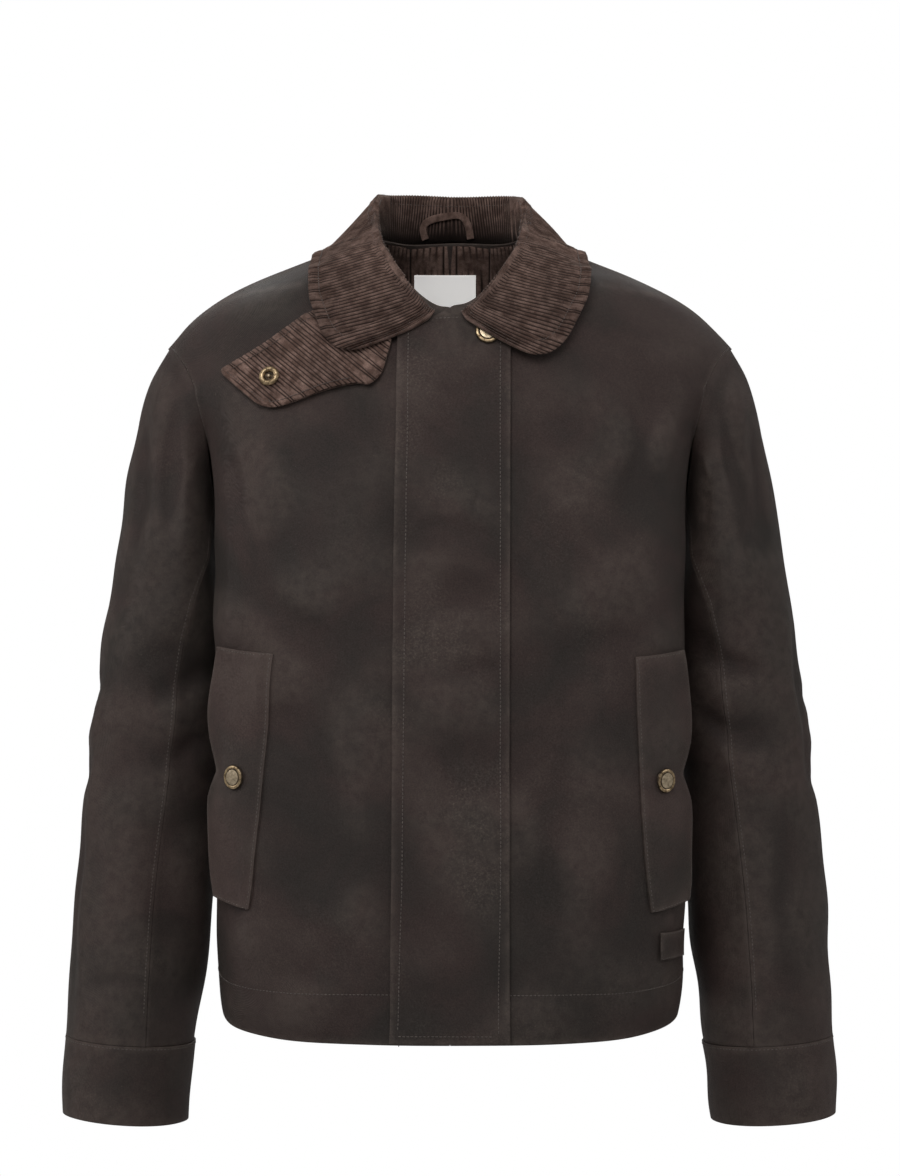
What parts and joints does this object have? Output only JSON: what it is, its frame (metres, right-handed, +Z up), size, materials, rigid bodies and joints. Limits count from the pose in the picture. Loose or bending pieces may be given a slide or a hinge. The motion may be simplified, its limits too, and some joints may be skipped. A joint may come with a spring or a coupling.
{
  "type": "jacket",
  "caption": "Short waxed cotton jacket with a corduroy collar and throat tab, a storm flap down the front, snapped welt pockets and plain cuffs, filled out as if worn.",
  "frame": {"origin": "the nape: the middle of the back neck seam, where the wearer holds the jacket up", "axes": "+Z up from hem to collar, +X to the wearer's left, -Y to the front"},
  "size_m": [0.5736, 0.2655, 0.698],
  "materials": {
    "back": "waxed cotton, dull with worn lighter edges",
    "front_left": "waxed cotton, dull with worn lighter edges",
    "front_right": "waxed cotton, dull with worn lighter edges",
    "sleeve_upper_left": "waxed cotton, dull with worn lighter edges",
    "sleeve_upper_right": "waxed cotton, dull with worn lighter edges",
    "sleeve_under_left": "waxed cotton, dull with worn lighter edges",
    "sleeve_under_right": "waxed cotton, dull with worn lighter edges",
    "cuff_left": "waxed cotton, dull with worn lighter edges",
    "cuff_right": "waxed cotton, dull with worn lighter edges",
    "storm_flap": "waxed cotton, dull with worn lighter edges",
    "pocket_welt_left": "waxed cotton, dull with worn lighter edges",
    "pocket_welt_right": "waxed cotton, dull with worn lighter edges",
    "hem_patch": "waxed cotton, dull with worn lighter edges",
    "collar": "corduroy, matt",
    "back_neck_facing": "corduroy, matt",
    "hanger_loop": "corduroy, matt",
    "throat_tab": "corduroy, matt",
    "neck_label": "plain woven label, matt",
    "snap_flap": "antique brass, satin",
    "snap_pocket_left": "antique brass, satin",
    "snap_pocket_right": "antique brass, satin",
    "snap_tab": "antique brass, satin"
  },
  "bodies": {
    "root": {"back": "back", "front_left": "front_left", "front_right": "front_right", "sleeve_upper_left": "sleeve_upper_left", "sleeve_upper_right": "sleeve_upper_right", "sleeve_under_left": "sleeve_under_left", "sleeve_under_right": "sleeve_under_right", "cuff_left": "cuff_left", "cuff_right": "cuff_right", "storm_flap": "storm_flap", "pocket_welt_left": "pocket_welt_left", "pocket_welt_right": "pocket_welt_right", "hem_patch": "hem_patch", "collar": "collar", "back_neck_facing": "back_neck_facing", "hanger_loop": "hanger_loop", "throat_tab": "throat_tab", "neck_label": "neck_label", "snap_flap": "snap_flap", "snap_pocket_left": "snap_pocket_left", "snap_pocket_right": "snap_pocket_right", "snap_tab": "snap_tab"}
  },
  "joints": []
}
